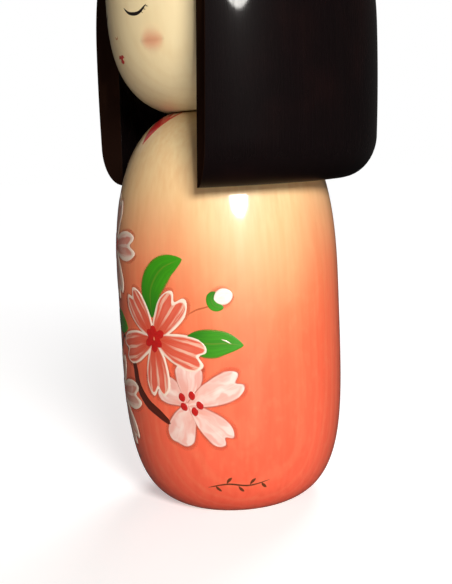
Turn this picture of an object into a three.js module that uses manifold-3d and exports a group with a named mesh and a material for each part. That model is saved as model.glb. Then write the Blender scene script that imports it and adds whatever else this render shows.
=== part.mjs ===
// A turned wooden kokeshi doll: a barrel body, a ball head that turns on a peg, and a bob of hair
// turned as one hollow hood and doweled to the crown of the head. Millimetres, +Z up, the face
// looks along -Y, and the origin is the middle of the foot, on the surface the doll stands on.
import * as THREE from "three";
import { mergeVertices } from "three/addons/utils/BufferGeometryUtils.js";
import Module from "manifold-3d";

// Body
const bodyHeight = 94; // foot to the seat under the head
const bodyRadius = 27; // at the belly
const bellyHeight = 48.9; // where the body is widest
const neckRadius = 12; // of the flat seat at the top of the body
const footRadius = 16.5; // of the flat foot
const shoulderFullness = 2.87; // exponent of the curve from belly to neck, 2 is an ellipse
const hipFullness = 4.1; // exponent of the curve from belly to foot

// Head
const headRadius = 25.5;
const chinDrop = 26.7; // widest point of the head down to its seat
const crownRise = 28.5; // widest point of the head up to its crown
const headSeatRadius = 13; // of the flat under the head
const chinFullness = 2.83;
const crownFullness = 2.35;

// Hair
const hairRoom = 3.1; // between the head and the bore of the hood
const shoulderRoom = 2.6; // least room between the hood's rim and the shoulder it hangs over
const hairWall = 9.4; // side wall of the hood, at its thickest
const crownWall = 8.7; // the hood above the head
const hairDrop = 17.2; // the rim hangs this far below the neck
const hairWidest = 9; // the hood is widest this far below the widest point of the head
const rimNarrowing = 0.7; // the side is this much slimmer above the rim than at its widest
const rimRound = 10.2; // height of the rounded rim
const crownDome = 2.2; // exponent of the hood's dome
const windowHalfAngle = 58.4; // degrees from the front to the outer edge of each side lock, at the rim
const windowCant = 14.5; // degrees that the cut faces of the locks look towards the face
const windowLean = 2.7; // degrees that the cut faces lean back on their way up
const fringeRise = 10.5; // middle of the fringe's edge above the widest point of the head
const fringeArch = 2; // the fringe is this much lower at its two ends

// Pegs
const pegRadius = 5;
const pegInBody = 16;
const pegInHead = 13;
const dowelRadius = 3;
const dowelInHead = 9;
const dowelInHair = 4.5;

// Clearances
const glueGap = 0.3; // between glued or resting faces
const turningGap = 0.1; // around the peg, in the head that turns on it

// Fineness
const turns = 60; // facets round a turned piece
const pegTurns = 24;
const curveSteps = 9; // straight runs in each quarter of a turned outline
const sideSteps = 3; // straight runs up the side of the hood

const wasm = await Module();
wasm.setup();

const wood = (color, roughness) => new THREE.MeshStandardMaterial({ color, roughness, metalness: 0 });
const stainedWood = wood(0xe9a77c, 0.3);
const creamWood = wood(0xf3e0b4, 0.35);
const blackLacquer = wood(0x0b0909, 0.25);
const bareWood = wood(0xd8b98a, 0.7);

// Solid of a closed geometry, for cutting and joining.
function solidOf(geometry) {
  const bare = geometry.clone();
  bare.deleteAttribute("normal");
  bare.deleteAttribute("uv");
  const merged = mergeVertices(bare, 1e-4);
  return new wasm.Manifold(
    new wasm.Mesh({
      numProp: 3,
      vertProperties: new Float32Array(merged.attributes.position.array),
      triVerts: new Uint32Array(merged.index.array),
    }),
  );
}

// Geometry of a solid, after cutting and joining.
function geometryOf(solid) {
  const mesh = solid.getMesh();
  const geometry = new THREE.BufferGeometry();
  geometry.setAttribute("position", new THREE.BufferAttribute(new Float32Array(mesh.vertProperties), 3));
  geometry.setIndex(new THREE.BufferAttribute(new Uint32Array(mesh.triVerts), 1));
  geometry.computeVertexNormals();
  return geometry;
}

// A turned piece standing on +Z, from an outline of [radius, height] pairs that runs upwards on
// the outside and starts and ends on the axis.
function turned(outline, facets = turns) {
  const points = outline.map(([radius, height]) => new THREE.Vector2(radius, height));
  return new THREE.LatheGeometry(points, facets).rotateX(Math.PI / 2);
}

// Half-height that a full curve of this radius and exponent needs, for its radius to have come
// down to endRadius at the distance endHeight from its widest point.
const curveHeight = (radius, fullness, endRadius, endHeight) =>
  endHeight / (1 - (endRadius / radius) ** fullness) ** (1 / fullness);

// Radius of such a curve at a distance from its widest point.
const radiusAt = (radius, halfHeight, fullness, distance) =>
  radius * (1 - (Math.abs(distance) / halfHeight) ** fullness) ** (1 / fullness);

// Points of such a curve from its widest point to endRadius, which may be 0. The steps are even
// in the turning of a circle, so they crowd where the curve bends most.
function curvePoints(radius, halfHeight, fullness, endRadius, steps = curveSteps) {
  const points = [];
  const last = Math.acos((endRadius / radius) ** (fullness / 2));
  for (let i = 0; i <= steps; i += 1) {
    const angle = (last * i) / steps;
    const across = radius * Math.cos(angle) ** (2 / fullness);
    const along = halfHeight * Math.sin(angle) ** (2 / fullness);
    points.push([i === steps ? endRadius : across, along]);
  }
  return points;
}

// Body: belly, shoulders up to the seat, and hips down to the foot
const shoulderHalf = curveHeight(bodyRadius, shoulderFullness, neckRadius, bodyHeight - bellyHeight);
const hipHalf = curveHeight(bodyRadius, hipFullness, footRadius, bellyHeight);
const pegHoleRadius = pegRadius + glueGap;

function bodyGeometry() {
  const hips = curvePoints(bodyRadius, hipHalf, hipFullness, footRadius).reverse();
  const shoulders = curvePoints(bodyRadius, shoulderHalf, shoulderFullness, neckRadius).slice(1);
  const holeFloor = bodyHeight - pegInBody - glueGap;
  return turned([
    [0, 0],
    ...hips.map(([radius, drop]) => [radius, bellyHeight - drop]),
    ...shoulders.map(([radius, rise]) => [radius, bellyHeight + rise]),
    [pegHoleRadius, bodyHeight],
    [pegHoleRadius, holeFloor],
    [0, holeFloor],
  ]);
}

// Head: heights from its seat
const chinHalf = curveHeight(headRadius, chinFullness, headSeatRadius, chinDrop);
const crown = chinDrop + crownRise;
const headBoreRadius = pegRadius + turningGap;
const dowelHoleRadius = dowelRadius + glueGap;

function headGeometry() {
  const chin = curvePoints(headRadius, chinHalf, chinFullness, headSeatRadius).reverse();
  const dome = curvePoints(headRadius, crownRise, crownFullness, dowelHoleRadius).slice(1);
  const boreRoof = pegInHead + glueGap;
  const holeFloor = crown - dowelInHead - glueGap;
  return turned([
    [0, boreRoof],
    [headBoreRadius, boreRoof],
    [headBoreRadius, 0],
    ...chin.map(([radius, drop]) => [radius, chinDrop - drop]),
    ...dome.map(([radius, rise]) => [radius, chinDrop + rise]),
    [dowelHoleRadius, holeFloor],
    [0, holeFloor],
  ]);
}

// Hair: heights from the head's seat. The bore goes round the head and hangs clear of the
// shoulder, and the wall and the dome follow it.
const rimHeight = -hairDrop;
const rimAboveBelly = Math.max(0, bodyHeight - hairDrop - bellyHeight);
const shoulderAtRim = radiusAt(bodyRadius, shoulderHalf, shoulderFullness, rimAboveBelly);
const boreRadius = Math.max(headRadius + hairRoom, shoulderAtRim + shoulderRoom);
const hoodRadius = boreRadius + hairWall;
const ceiling = crown + glueGap;
const hoodTop = ceiling + crownWall;
const windowDepth = hoodRadius * Math.cos(THREE.MathUtils.degToRad(windowHalfAngle));
const windowHalfWidth = hoodRadius * Math.sin(THREE.MathUtils.degToRad(windowHalfAngle));
const fringeHeight = chinDrop + fringeRise;
const widestHeight = chinDrop - hairWidest;

function hoodOutline() {
  const rim = [];
  const sideRadius = hoodRadius - rimNarrowing;
  for (let i = 0; i <= curveSteps; i += 1) {
    const angle = (Math.PI / 2) * (i / curveSteps);
    const across = boreRadius + (sideRadius - boreRadius) * Math.sin(angle);
    rim.push([across, rimHeight + rimRound * (1 - Math.cos(angle))]);
  }
  const side = [];
  const sideBottom = rimHeight + rimRound;
  for (let i = 1; i < sideSteps; i += 1) {
    const share = i / sideSteps;
    const swell = rimNarrowing * (1 - (1 - share) ** 2);
    side.push([sideRadius + swell, sideBottom + (widestHeight - sideBottom) * share]);
  }
  const dome = curvePoints(hoodRadius, hoodTop - widestHeight, crownDome, 0);
  const vault = curvePoints(boreRadius, ceiling - chinDrop, crownFullness, dowelHoleRadius);
  const roof = ceiling + dowelInHair + glueGap;
  return [
    [0, roof],
    [dowelHoleRadius, roof],
    ...vault.reverse().map(([radius, rise]) => [radius, chinDrop + rise]),
    ...rim,
    ...side,
    ...dome.map(([radius, rise]) => [radius, widestHeight + rise]),
  ];
}

// What is cut away for the face: seen from above two planes that meet over the face, and seen
// from the front everything below the arched edge of the fringe.
function windowTool() {
  const reach = 2 * hoodRadius;
  const below = rimHeight - rimRound;
  const cant = Math.tan(THREE.MathUtils.degToRad(windowCant));
  const plan = new THREE.Shape();
  plan.moveTo(0, -windowDepth + windowHalfWidth * cant);
  plan.lineTo(-reach, -windowDepth - (reach - windowHalfWidth) * cant);
  plan.lineTo(-reach, -2 * reach);
  plan.lineTo(reach, -2 * reach);
  plan.lineTo(reach, -windowDepth - (reach - windowHalfWidth) * cant);
  plan.closePath();
  const tall = new THREE.ExtrudeGeometry(plan, { depth: hoodTop - below, bevelEnabled: false });
  tall.translate(0, windowDepth, below - rimHeight);
  tall.rotateX(THREE.MathUtils.degToRad(-windowLean));
  tall.translate(0, -windowDepth, rimHeight);

  const archRadius = (windowHalfWidth ** 2 + fringeArch ** 2) / (2 * fringeArch);
  const archAngle = Math.asin(windowHalfWidth / archRadius);
  const front = new THREE.Shape();
  front.moveTo(-reach, below);
  front.lineTo(reach, below);
  front.lineTo(reach, fringeHeight - fringeArch);
  front.absarc(0, fringeHeight - archRadius, archRadius, Math.PI / 2 - archAngle, Math.PI / 2 + archAngle);
  front.lineTo(-reach, fringeHeight - fringeArch);
  front.closePath();
  const deep = new THREE.ExtrudeGeometry(front, { depth: 2 * reach, bevelEnabled: false });
  deep.rotateX(Math.PI / 2);
  return solidOf(tall).intersect(solidOf(deep));
}

const hoodGeometry = () => geometryOf(solidOf(turned(hoodOutline())).subtract(windowTool()));

// A plain peg from the height bottom to the height top, its ends chamfered.
function pegGeometry(radius, bottom, top) {
  const chamfer = radius / 8;
  return turned(
    [
      [0, bottom],
      [radius - chamfer, bottom],
      [radius, bottom + chamfer],
      [radius, top - chamfer],
      [radius - chamfer, top],
      [0, top],
    ],
    pegTurns,
  );
}

function piece(name, geometry, material) {
  const mesh = new THREE.Mesh(geometry, material);
  mesh.name = name;
  return mesh;
}

const doll = new THREE.Group();
doll.add(piece("body", bodyGeometry(), stainedWood));
doll.add(piece("neck_peg", pegGeometry(pegRadius, bodyHeight - pegInBody, bodyHeight + pegInHead), bareWood));

// The head and its hair turn together about the peg.
const headGroup = new THREE.Group();
headGroup.position.z = bodyHeight + glueGap;
headGroup.add(piece("head", headGeometry(), creamWood));
headGroup.add(piece("crown_dowel", pegGeometry(dowelRadius, crown - dowelInHead, ceiling + dowelInHair), bareWood));
headGroup.add(piece("hair_hood", hoodGeometry(), blackLacquer));
doll.add(headGroup);

export default doll;
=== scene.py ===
"""A turned wooden kokeshi doll: a barrel body, a ball head on a peg and a hood of lacquered hair.

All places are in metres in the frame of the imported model: +Z runs up the turning axis, the face
looks along -Y and +X is the doll's left. A lathe tree turns the body and the head from their
outlines. The painted blossom is first laid out flat, as arc along the turning and height above
the foot, by a petal tree and a brush tree, and a third tree wraps it round the turning.
"""
import logging
import math
from dataclasses import dataclass, replace
from enum import Enum
from typing import Any, Callable

import bmesh
import bpy
from mathutils import Matrix, Vector


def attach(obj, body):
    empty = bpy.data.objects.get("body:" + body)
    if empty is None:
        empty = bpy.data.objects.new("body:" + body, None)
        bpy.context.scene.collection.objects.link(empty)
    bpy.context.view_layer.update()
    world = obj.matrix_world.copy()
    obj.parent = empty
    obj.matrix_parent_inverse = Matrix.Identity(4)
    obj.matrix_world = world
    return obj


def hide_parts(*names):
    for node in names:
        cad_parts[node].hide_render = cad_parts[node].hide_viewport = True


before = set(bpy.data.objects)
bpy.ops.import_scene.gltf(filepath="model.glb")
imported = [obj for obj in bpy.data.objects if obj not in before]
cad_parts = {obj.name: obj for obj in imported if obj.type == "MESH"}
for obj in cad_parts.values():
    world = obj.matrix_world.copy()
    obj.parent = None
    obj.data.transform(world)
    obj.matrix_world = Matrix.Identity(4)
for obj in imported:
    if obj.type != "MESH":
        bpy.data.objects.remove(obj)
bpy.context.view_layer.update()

MM = 0.001
WELD = 1e-6
Point = tuple[float, float]
Colour = tuple[float, float, float, float]
log = logging.getLogger("kokeshi")


def paint(red: int, green: int, blue: int) -> Colour:
    """Turns a paint's screen values, 0 to 255, into a linear colour.

    Args:
        red, green, blue: the paint as a screen shows it.

    Returns:
        The linear colour, opaque.
    """
    shares = (value / 255 for value in (red, green, blue))
    linear = (s / 12.92 if s <= 0.04045 else ((s + 0.055) / 1.055) ** 2.4 for s in shares)
    return (*linear, 1.0)


# ---------------------------------------------------------------- node trees


def math_method(operation: str, flipped: bool = False) -> "Callable[..., Wire]":
    """Makes a method of Wire that adds a Math node to the wire's tree.

    Args:
        operation: the node's operation.
        flipped: whether the other term comes first, as it does in 1 - mask.

    Returns:
        The method, which takes the other term where the operation has one.
    """

    def combine(self: "Wire", other: "Wire | float" = 0.0) -> "Wire":
        """The operation's result on self and other."""
        terms = (other, self) if flipped else (self, other)
        return Bench(self.socket.id_data).math(operation, *terms)

    return combine


class Wire:
    """An output socket, on which arithmetic adds Math nodes to the same tree."""

    __add__ = math_method("ADD")
    __radd__ = math_method("ADD", flipped=True)
    __sub__ = math_method("SUBTRACT")
    __rsub__ = math_method("SUBTRACT", flipped=True)
    __mul__ = math_method("MULTIPLY")
    __rmul__ = math_method("MULTIPLY", flipped=True)
    __truediv__ = math_method("DIVIDE")
    __rtruediv__ = math_method("DIVIDE", flipped=True)
    __pow__ = math_method("POWER")
    __abs__ = math_method("ABSOLUTE")
    at_least = math_method("MAXIMUM")
    at_most = math_method("MINIMUM")
    sine = math_method("SINE")
    cosine = math_method("COSINE")
    rounded = math_method("ROUND")
    exponential = math_method("EXPONENT")

    def __init__(self, socket: bpy.types.NodeSocket) -> None:
        """Keeps the socket."""
        self.socket = socket

    def __neg__(self) -> "Wire":
        """-self."""
        return self * -1.0

    def decay(self) -> "Wire":
        """e to the power of -self."""
        return (-self).exponential()

    def step(self, start: float, end: float) -> "Wire":
        """A smooth step.

        Args:
            start: where it is still 0.
            end: where it has come to 1.

        Returns:
            The step, from 0 to 1.
        """
        ends = {"Value": self, "From Min": start, "From Max": end}
        kind = {"interpolation_type": "SMOOTHSTEP"}
        return Bench(self.socket.id_data).node("ShaderNodeMapRange", kind, ends)

    def output(self, name: str) -> "Wire":
        """Another output of the same node."""
        return Wire(self.socket.node.outputs[name])


Tone = Wire | Colour
Sockets = dict[str, Wire | float | Colour]


class Bench:
    """Adds nodes to one tree."""

    def __init__(self, tree: bpy.types.NodeTree) -> None:
        """Keeps the tree."""
        self.tree = tree

    def node(
        self,
        kind: str,
        settings: dict[str, Any] | None = None,
        sockets: dict[str | int, Any] | None = None,
        output: str | int = 0,
    ) -> Wire:
        """Adds one node.

        Args:
            kind: the node's type.
            settings: its properties, set first; "stops" are a ramp's (place, colour) pairs.
            sockets: what goes into its sockets, by name or number, as values or wires.
            output: the output wanted, by name or number.

        Returns:
            That output.
        """
        made = self.tree.nodes.new(kind)
        for name, value in (settings or {}).items():
            if name == "stops":
                self._set_stops(made.color_ramp, value)
            else:
                setattr(made, name, value)
        for name, value in (sockets or {}).items():
            if isinstance(value, Wire):
                self.tree.links.new(value.socket, made.inputs[name])
            else:
                made.inputs[name].default_value = value
        return Wire(made.outputs[output]) if made.outputs else Wire(made.inputs[0])

    @staticmethod
    def _set_stops(ramp: bpy.types.ColorRamp, stops: list[tuple[float, Colour]]) -> None:
        """Gives a ramp its stops.

        Args:
            ramp: the ramp.
            stops: each stop's place and colour.
        """
        for index, (place, colour) in enumerate(stops):
            stop = ramp.elements[index] if index < 2 else ramp.elements.new(place)
            stop.position = place
            stop.color = colour

    def split(self, vector: Wire) -> tuple[Wire, Wire, Wire]:
        """The three parts of a vector."""
        parts = self.node("ShaderNodeSeparateXYZ", None, {0: vector})
        return parts.output("X"), parts.output("Y"), parts.output("Z")

    def join(self, x: Wire | float, y: Wire | float, z: Wire | float = 0.0) -> Wire:
        """The vector with these three parts."""
        return self.node("ShaderNodeCombineXYZ", None, {0: x, 1: y, 2: z})

    def turn(self, radius: Wire, angle: Wire, height: Wire) -> Wire:
        """The place at an angle round the turning axis from the front."""
        return self.join(radius * angle.sine(), -(radius * angle.cosine()), height)

    def where(self) -> Wire:
        """Object coordinates."""
        return self.node("ShaderNodeTexCoord", None, None, "Object")

    def on_film(self) -> tuple[Wire, Wire, Wire]:
        """Shares across and along a film of paint, from 0 to 1, and the distance from its edge."""
        across, along, _ = self.split(self.node("ShaderNodeUVMap", {"uv_map": "UVMap"}))
        return across, along, self.node("ShaderNodeAttribute", {"attribute_name": "edge"}, None, "Fac")

    def math(self, operation: str, *terms: Wire | float) -> Wire:
        """A Math node on these terms."""
        return self.node("ShaderNodeMath", {"operation": operation}, dict(enumerate(terms)))

    def vector(self, operation: str, first: Wire, second: Wire | tuple[float, float, float]) -> Wire:
        """A Vector Math node on two vectors."""
        return self.node("ShaderNodeVectorMath", {"operation": operation}, {0: first, 1: second})

    def mix(self, share: Wire | float, first: Tone, second: Tone, way: str = "MIX") -> Wire:
        """Mixes two colours.

        Args:
            share: how much of the second colour there is.
            first, second: the colours.
            way: the Mix node's blend type.

        Returns:
            The mixed colour.
        """
        settings = {"data_type": "RGBA", "blend_type": way}
        return self.node("ShaderNodeMix", settings, {0: share, 6: first, 7: second}, 2)

    def noise(self, where: Wire, scale: tuple[float, float, float], detail: float = 3.0) -> Wire:
        """Noise about 0.5, stretched by a scale for each direction.

        Args:
            where: the coordinates.
            scale: waves to the metre along X, Y and Z.
            detail: octaves.

        Returns:
            The noise.
        """
        stretched = self.vector("MULTIPLY", where, scale)
        sockets = {"Vector": stretched, "Scale": 1.0, "Detail": detail}
        return self.node("ShaderNodeTexNoise", None, sockets)


class ShapeTree:
    """A Geometry Nodes tree with named inputs, which is run on a mesh to give a plain mesh."""

    def __init__(self, name: str, inputs: dict[str, str]) -> None:
        """Starts the tree.

        Args:
            name: the tree's name.
            inputs: each input's name and kind, such as Float or Int.
        """
        self.group = bpy.data.node_groups.new(name, "GeometryNodeTree")
        self.bench = Bench(self.group)
        self.keys: dict[str, str] = {}
        for label, kind in {"Geometry": "Geometry", **inputs, "Finish": "Material"}.items():
            made = self.group.interface.new_socket(label, in_out="INPUT", socket_type="NodeSocket" + kind)
            self.keys[label] = made.identifier
        self.group.interface.new_socket("Geometry", in_out="OUTPUT", socket_type="NodeSocketGeometry")
        self.given = self.bench.node("NodeGroupInput")

    def __getitem__(self, label: str) -> Wire:
        """One of the tree's inputs."""
        return self.given.output(label)

    def sheet(self, across: Wire | int, along: Wire | int) -> tuple[Wire, Wire, Wire]:
        """Adds a flat grid to be shaped.

        Args:
            across, along: its numbers of points.

        Returns:
            The grid with its UV map, and the two shares, from 0 to 1, across and along it.
        """
        size = {"Size X": 1.0, "Size Y": 1.0, "Vertices X": across, "Vertices Y": along}
        grid = self.bench.node("GeometryNodeMeshGrid", None, size)
        mapped = self.bench.node(
            "GeometryNodeStoreNamedAttribute",
            {"data_type": "FLOAT2", "domain": "CORNER"},
            {"Geometry": grid, "Name": "UVMap", "Value": grid.output("UV Map")},
        )
        x, y, _ = self.bench.split(self.bench.node("GeometryNodeInputPosition"))
        return mapped, x + 0.5, y + 0.5

    def store(self, shape: Wire, name: str, value: Wire) -> Wire:
        """Stores a number at each point of a shape."""
        sockets = {"Geometry": shape, "Name": name, "Value": value}
        return self.bench.node("GeometryNodeStoreNamedAttribute", None, sockets)

    def place(self, shape: Wire, where: Wire) -> Wire:
        """Moves the points of a shape."""
        return self.bench.node("GeometryNodeSetPosition", None, {"Geometry": shape, "Position": where})

    def swell(self, edge: Wire, rounding: float) -> Wire:
        """The height of a film of paint, from Sink below the surface at its edge to Lift above it."""
        thickness = self["Lift"] + self["Sink"]
        return thickness * (1.0 - (edge * (1 / rounding)).decay()) - self["Sink"]

    def close(self, shape: Wire) -> None:
        """Welds and smooths the shape, and ends the tree with it.

        Args:
            shape: the finished shape.
        """
        node = self.bench.node
        welded = node("GeometryNodeMergeByDistance", None, {"Geometry": shape, "Distance": WELD})
        smooth = node("GeometryNodeSetShadeSmooth", None, {"Geometry": welded})
        real = node("GeometryNodeRealizeInstances", None, {"Geometry": smooth})
        dressed = node("GeometryNodeSetMaterial", None, {"Geometry": real, "Material": self["Finish"]})
        node("NodeGroupOutput", None, {"Geometry": dressed})

    def run(self, source: bpy.types.Mesh, **values: Any) -> bpy.types.Mesh:
        """Runs the tree.

        Args:
            source: the mesh that goes in, which is used up.
            values: the inputs, by name with _ for each space.

        Returns:
            The plain mesh that comes out.
        """
        holder = bpy.data.objects.new("holder", source)
        bpy.context.scene.collection.objects.link(holder)
        modifier = holder.modifiers.new("shape", "NODES")
        modifier.node_group = self.group
        for name, value in values.items():
            modifier[self.keys[name.replace("_", " ")]] = value
        depsgraph = bpy.context.evaluated_depsgraph_get()
        made = bpy.data.meshes.new_from_object(
            holder.evaluated_get(depsgraph), preserve_all_data_layers=True, depsgraph=depsgraph
        )
        bpy.data.objects.remove(holder)
        bpy.data.meshes.remove(source)
        return made


def turning_tree() -> ShapeTree:
    """Builds the lathe.

    Returns:
        A tree that turns an outline, whose points lie in the XZ plane, about the Z axis.
    """
    tree = ShapeTree("turned_piece", {"Turns": "Int"})
    bench = tree.bench
    points = bench.node(
        "GeometryNodeAttributeDomainSize", {"component": "MESH"}, {0: tree["Geometry"]}, "Point Count"
    )
    grid, across, along = tree.sheet(tree["Turns"] + 1.0, points)
    outline = bench.node(
        "GeometryNodeSampleIndex",
        {"data_type": "FLOAT_VECTOR", "domain": "POINT"},
        {
            "Geometry": tree["Geometry"],
            "Value": bench.node("GeometryNodeInputPosition"),
            "Index": (along * (points - 1.0)).rounded(),
        },
    )
    radius, _, height = bench.split(outline)
    tree.close(tree.place(grid, bench.turn(radius, across * math.tau, height)))
    return tree


def petal_tree() -> ShapeTree:
    """Builds the petal.

    Returns:
        A tree that lays one petal flat: it grows from Centre along Heading, is notched at its tip,
        and its film of paint swells from Sink below the surface at the edge to Lift above it.
    """
    floats = "Heading Length Width Notch Bend Lift Sink Seed"
    tree = ShapeTree("petal", {"Centre": "Vector", **{name: "Float" for name in floats.split()}})
    bench = tree.bench
    grid, across, along = tree.sheet(21, 31)
    side = across * 2.0 - 1.0
    wobble = bench.node(
        "ShaderNodeTexNoise",
        None,
        {"Vector": bench.join(side * 1.3, along * 1.7, tree["Seed"]), "Scale": 1.0, "Detail": 1.0},
    )
    notch = tree["Notch"] * ((side * side) * (1 / 0.24**2)).decay()
    lane = 1.0 - notch - 0.3 * (side * side) ** 2.4 + (wobble - 0.5) * 0.14
    reach = along * lane
    half = tree["Width"] * 0.5 * ((reach * 0.6 + 0.055) * math.pi).sine() ** 0.85
    half = half * (1.0 + (wobble - 0.5) * 0.3)
    edge = ((1.0 - abs(side)) * half).at_most((1.0 - along) * lane * tree["Length"])
    lift = tree.swell(edge, 0.14 * MM)
    x = side * half + tree["Bend"] * tree["Length"] * reach * reach
    y = reach * tree["Length"]
    cosine, sine = tree["Heading"].cosine(), tree["Heading"].sine()
    turned = bench.join(y * cosine + x * sine, y * sine - x * cosine, lift)
    kept = tree.store(grid, "edge", edge)
    tree.close(tree.place(kept, bench.vector("ADD", turned, tree["Centre"])))
    return tree


def brush_tree() -> ShapeTree:
    """Builds the brush stroke.

    Returns:
        A tree that lays one stroke flat along the line of points that goes in: it is Half Width wide
        each side where it is widest, Skew moves that place, and a low Round makes blunt ends.
    """
    floats = ("Half Width", "Skew", "Round", "Lift", "Sink")
    tree = ShapeTree("brush_stroke", {name: "Float" for name in floats})
    bench = tree.bench
    line = bench.node("GeometryNodeMeshToCurve", None, {0: tree["Geometry"]})
    smooth = bench.node("GeometryNodeCurveSplineType", {"spline_type": "CATMULL_ROM"}, {0: line})
    grid, across, along = tree.sheet(13, 41)
    stretched = 0.5 - (along * math.pi).cosine() * 0.5
    path = bench.node(
        "GeometryNodeSampleCurve", {"mode": "FACTOR"}, {"Curves": smooth, "Factor": stretched}
    )
    tangent_x, tangent_y, _ = bench.split(path.output("Tangent"))
    side = across * 2.0 - 1.0
    swell = (((stretched.at_least(0.0) ** tree["Skew"]) * math.pi).sine()).at_least(0.0)
    half = tree["Half Width"] * swell ** tree["Round"]
    edge = (1.0 - abs(side)) * half
    lift = tree.swell(edge, 0.12 * MM)
    offset = bench.join(tangent_y * side * half, -(tangent_x * side * half), lift)
    kept = tree.store(grid, "edge", edge)
    tree.close(tree.place(kept, bench.vector("ADD", path.output("Position"), offset)))
    return tree


def wrapping_tree() -> ShapeTree:
    """Builds the wrapping.

    Returns:
        A tree that wraps a flat shape round a turned form: X is the arc at the widest radius from
        the front, Y is the height, and Z is the height above the surface.
    """
    names = ("Radius", "Widest", "Upper Half", "Upper Fullness", "Lower Half", "Lower Fullness")
    tree = ShapeTree("wrap_on_turning", {name: "Float" for name in names})
    bench = tree.bench
    arc, height, lift = bench.split(bench.node("GeometryNodeInputPosition"))

    def quarter(rise: Wire, half: Wire, fullness: Wire) -> Wire:
        """Radius on one side of the widest place; on the other side it stays full."""
        share = (rise.at_least(0.0) / half).at_most(1.0)
        return tree["Radius"] * (1.0 - share**fullness) ** (1.0 / fullness)

    def radius(at: Wire) -> Wire:
        """Radius at a height.

        Args:
            at: the height.

        Returns:
            The radius of the form there.
        """
        rise = at - tree["Widest"]
        upper = quarter(rise, tree["Upper Half"], tree["Upper Fullness"])
        return upper.at_most(quarter(-rise, tree["Lower Half"], tree["Lower Fullness"]))

    probe = 0.05 * MM
    here = radius(height)
    slope = (radius(height + probe) - radius(height - probe)) / (2 * probe)
    tilt = (slope * slope + 1.0) ** -0.5
    out = here + lift * tilt
    place = bench.turn(out, arc / tree["Radius"], height - lift * tilt * slope)
    tree.close(tree.place(tree["Geometry"], place))
    return tree


# ---------------------------------------------------------------- finishes


@dataclass(frozen=True)
class Varnish:
    """The clear coat over a finish."""

    weight: float = 1.0
    roughness: float = 0.1
    under: float = 0.5
    under_gloss: float = 0.5
    index: float = 1.5


@dataclass(frozen=True)
class Finish:
    """What every finish has: a name, a varnish, and a way to mix its colour and its relief."""

    name: str
    varnish: Varnish = Varnish()

    def mixed(self, bench: Bench) -> Sockets:
        """Mixes the finish's colour and relief.

        Args:
            bench: the material's tree.

        Returns:
            Values, colours and wires, by socket, with "Relief" for the height of a bump.
        """
        raise NotImplementedError

    def material(self) -> bpy.types.Material:
        """Builds the material once.

        Returns:
            The material, which later calls find again by its name.
        """
        known = bpy.data.materials.get(self.name)
        if known:
            return known
        made = bpy.data.materials.new(self.name)
        made.use_nodes = True
        made.node_tree.nodes.clear()
        bench = Bench(made.node_tree)
        sockets = {
            "Coat Weight": self.varnish.weight,
            "Coat Roughness": self.varnish.roughness,
            "Coat IOR": self.varnish.index,
            "Roughness": self.varnish.under,
            "Specular IOR Level": self.varnish.under_gloss,
            **self.mixed(bench),
        }
        relief = sockets.pop("Relief", None)
        if relief is not None:
            bump = {"Height": relief, "Distance": 0.1 * MM, "Strength": 0.5}
            sockets["Normal"] = bench.node("ShaderNodeBump", None, bump)
        shader = bench.node("ShaderNodeBsdfPrincipled", None, sockets)
        bench.node("ShaderNodeOutputMaterial", None, {"Surface": shader})
        return made


def grain(bench: Bench, where: Wire, pith: Point, spacing: float) -> tuple[Wire, Wire]:
    """The figure of a piece turned from a plank or a branch.

    Args:
        bench: the material's tree.
        where: Object coordinates.
        pith: where the pith of the tree ran, X and Y.
        spacing: width of a year's growth.

    Returns:
        Fibre streaks and growth rings, each from 0 to 1.
    """
    fine = bench.noise(where, (900, 900, 22), 4.0)
    broad = bench.noise(where, (330, 330, 9), 2.0)
    streak = (fine * 0.6 + broad * 0.6 - 0.1).step(0.25, 0.78)
    x, y, _ = bench.split(where)
    waver = bench.noise(where, (70, 70, 38), 3.0)
    away_x, away_y = x - pith[0], y - pith[1]
    distance = (away_x * away_x + away_y * away_y) ** 0.5 + waver * (2.2 * spacing)
    ring = (distance * (math.tau / spacing)).sine().step(0.1, 1.0)
    return streak, ring


@dataclass(frozen=True)
class StainedWood(Finish):
    """Cream wood under a stain that is rubbed on from the foot and fades out at the shoulder.

    The stain's edge lies lower, by up to the dip, on the side that is the facing angle round from the front,
    where the key light falls: that paler cream is partly the stain's own uneven edge and partly a painted
    highlight.
    """

    height: float = 94 * MM
    radius: float = 27 * MM
    pith: Point = (-46 * MM, 17 * MM)
    facing: float = math.radians(76)
    stain_and_sheen_dip: float = 9.5 * MM
    stops: tuple[tuple[float, Colour], ...] = ()

    def mixed(self, bench: Bench) -> Sockets:
        """Fades the stain up the body, streaks it along the fibres, and leaves the foot bare.

        Args:
            bench: the material's tree.

        Returns:
            What goes into the shader's sockets.
        """
        where = bench.where()
        x, y, z = bench.split(where)
        streak, ring = grain(bench, where, self.pith, 2.1 * MM)
        cloud = bench.noise(where, (70, 70, 45), 3.0)
        fleck = bench.noise(where, (520, 520, 300), 2.0).step(0.5, 0.72)
        # Partly painted highlight: the cream reaches lower on the side that faces the key light, as well as
        # along the stain's uneven edge.
        toward_key_light = x * (math.sin(self.facing) / self.radius) - y * (math.cos(self.facing) / self.radius)
        fade = z + toward_key_light.step(0.74, 1.0) * self.stain_and_sheen_dip
        fade = fade + (cloud - 0.5) * (7 * MM) + (streak - 0.5) * (3 * MM)
        stain = bench.node("ShaderNodeValToRGB", {"stops": self.stops}, {"Fac": fade / self.height})
        deep = bench.mix(1.0, stain, paint(243, 214, 196), "MULTIPLY")
        tone = bench.mix(streak * 0.62, stain, deep)
        figured = bench.mix(ring * 0.12 + fleck * 0.11, tone, bench.mix(0.35, tone, paint(250, 214, 158)))
        bare = 1.0 - z.step(0.05 * MM, 0.6 * MM)
        base = bench.mix(bare * 0.8, figured, paint(222, 190, 140))
        pores = bench.noise(where, (2600, 2600, 60), 2.0)
        return {
            "Base Color": base,
            "Roughness": 0.42 + streak * 0.12,
            "Relief": streak * 0.05 + pores * 0.04,
        }


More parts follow.
